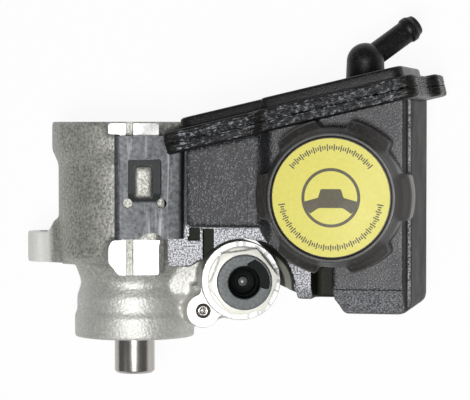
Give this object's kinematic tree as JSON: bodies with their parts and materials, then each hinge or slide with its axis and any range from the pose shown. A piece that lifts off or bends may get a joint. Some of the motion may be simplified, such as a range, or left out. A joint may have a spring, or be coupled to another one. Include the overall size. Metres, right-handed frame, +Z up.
{
  "type": "power steering pump",
  "caption": "Vane type power steering pump with a cast aluminium body, a clipped-on black plastic fluid reservoir, a screw filler cap and a plugged outlet fitting.",
  "frame": {"origin": "on the drive shaft's axis, in the plane of the mounting ear's front face", "axes": "-Y along the shaft toward the pulley, +Z up along the filler cap's axis, +X from the pump toward the reservoir"},
  "size_m": [0.1766, 0.1503, 0.1076],
  "materials": {
    "cast_aluminium": "cast, machined pads",
    "black_plastic": "moulded, textured",
    "phosphate_steel": "dark phosphated spring steel",
    "plated_steel": "bright plated",
    "grey_plug": "soft moulded",
    "ground_steel": "ground",
    "hard_steel": "hardened, dark",
    "bronze": "sintered",
    "rubber": "matte",
    "cage_plastic": "moulded",
    "yellow_label": "printed"
  },
  "bodies": {
    "housing": {"pump_housing": "cast_aluminium", "reservoir_tub": "black_plastic", "reservoir_cover": "black_plastic", "reservoir_o_ring": "rubber", "retaining_clip_upper": "phosphate_steel", "retaining_clip_lower": "phosphate_steel", "outlet_fitting": "plated_steel", "fitting_o_ring": "rubber", "shipping_plug": "grey_plug", "passage_plug_pin": "ground_steel", "flow_control_spring": "hard_steel", "end_cover": "ground_steel", "end_cover_o_ring": "rubber", "end_cover_retaining_ring": "hard_steel", "pressure_plate": "ground_steel", "pressure_plate_o_ring": "rubber", "pressure_plate_spring": "hard_steel", "cam_ring": "hard_steel", "thrust_plate": "ground_steel", "dowel_pin_1": "ground_steel", "dowel_pin_2": "ground_steel", "shaft_bushing": "bronze", "shaft_seal": "rubber", "bearing_outer_ring": "ground_steel", "bearing_retaining_ring": "hard_steel"},
    "shaft": {"drive_shaft": "ground_steel", "rotor": "hard_steel", "shaft_retaining_ring": "hard_steel", "bearing_inner_ring": "ground_steel"},
    "ball_cage": {"bearing_cage": "cage_plastic", "bearing_ball_1": "ground_steel", "bearing_ball_2": "ground_steel", "bearing_ball_3": "ground_steel", "bearing_ball_4": "ground_steel", "bearing_ball_5": "ground_steel", "bearing_ball_6": "ground_steel", "bearing_ball_7": "ground_steel"},
    "vane_body_01": {"vane_01": "ground_steel"},
    "vane_body_02": {"vane_02": "ground_steel"},
    "vane_body_03": {"vane_03": "ground_steel"},
    "vane_body_04": {"vane_04": "ground_steel"},
    "vane_body_05": {"vane_05": "ground_steel"},
    "vane_body_06": {"vane_06": "ground_steel"},
    "vane_body_07": {"vane_07": "ground_steel"},
    "vane_body_08": {"vane_08": "ground_steel"},
    "vane_body_09": {"vane_09": "ground_steel"},
    "vane_body_10": {"vane_10": "ground_steel"},
    "spool": {"control_valve_spool": "ground_steel"},
    "cap_seal": {"cap_gasket": "rubber"},
    "cap": {"cap_shell": "black_plastic", "cap_label": "yellow_label", "cap_dipstick": "black_plastic"}
  },
  "joints": [
    {"name": "shaft_spin", "type": "hinge", "parent": "housing", "child": "shaft", "pos_m": [0, 0, 0], "axis": [0, 1, 0], "continuous": true},
    {"name": "ball_cage_spin", "type": "hinge", "parent": "housing", "child": "ball_cage", "pos_m": [0, 0, 0], "axis": [0, 1, 0], "continuous": true},
    {"name": "vane_01_slide", "type": "slide", "parent": "shaft", "child": "vane_body_01", "axis": [1, 0, 0], "range_m": [-0.0006, 0.00038]},
    {"name": "vane_02_slide", "type": "slide", "parent": "shaft", "child": "vane_body_02", "axis": [0.809, 0, 0.5878], "range_m": [-0.0006, 0.00178]},
    {"name": "vane_03_slide", "type": "slide", "parent": "shaft", "child": "vane_body_03", "axis": [0.309, 0, 0.9511], "range_m": [-0.0006, 0.00264]},
    {"name": "vane_04_slide", "type": "slide", "parent": "shaft", "child": "vane_body_04", "axis": [-0.309, 0, 0.9511], "range_m": [-0.0006, 0.00178]},
    {"name": "vane_05_slide", "type": "slide", "parent": "shaft", "child": "vane_body_05", "axis": [-0.809, 0, 0.5878], "range_m": [-0.0006, 0.00038]},
    {"name": "vane_06_slide", "type": "slide", "parent": "shaft", "child": "vane_body_06", "axis": [-1, 0, 0], "range_m": [-0.0006, 0.00038]},
    {"name": "vane_07_slide", "type": "slide", "parent": "shaft", "child": "vane_body_07", "axis": [-0.809, 0, -0.5878], "range_m": [-0.0006, 0.00178]},
    {"name": "vane_08_slide", "type": "slide", "parent": "shaft", "child": "vane_body_08", "axis": [-0.309, 0, -0.9511], "range_m": [-0.0006, 0.00264]},
    {"name": "vane_09_slide", "type": "slide", "parent": "shaft", "child": "vane_body_09", "axis": [0.309, 0, -0.9511], "range_m": [-0.0006, 0.00178]},
    {"name": "vane_10_slide", "type": "slide", "parent": "shaft", "child": "vane_body_10", "axis": [0.809, 0, -0.5878], "range_m": [-0.0006, 0.00038]},
    {"name": "spool_slide", "type": "slide", "parent": "housing", "child": "spool", "axis": [0.309, 0, 0.9511], "range_m": [-0.008, 0], "stiffness_N_per_m": 4000, "springref_m": 0.004, "deforming": ["flow_control_spring"]},
    {"name": "cap_lift", "type": "slide", "parent": "housing", "child": "cap_seal", "axis": [0, 0, 1], "range_m": [0, 0.006]},
    {"name": "cap_turn", "type": "hinge", "parent": "cap_seal", "child": "cap", "pos_m": [0.0934, 0.0298, 0], "axis": [0, 0, 1], "range_deg": [0, 540]}
  ],
  "couplings": [
    {"joint": "ball_cage_spin", "follows": "shaft_spin", "ratio": 0.388},
    {"joint": "cap_turn", "follows": "cap_lift", "rad_per_m": 1570.8}
  ]
}
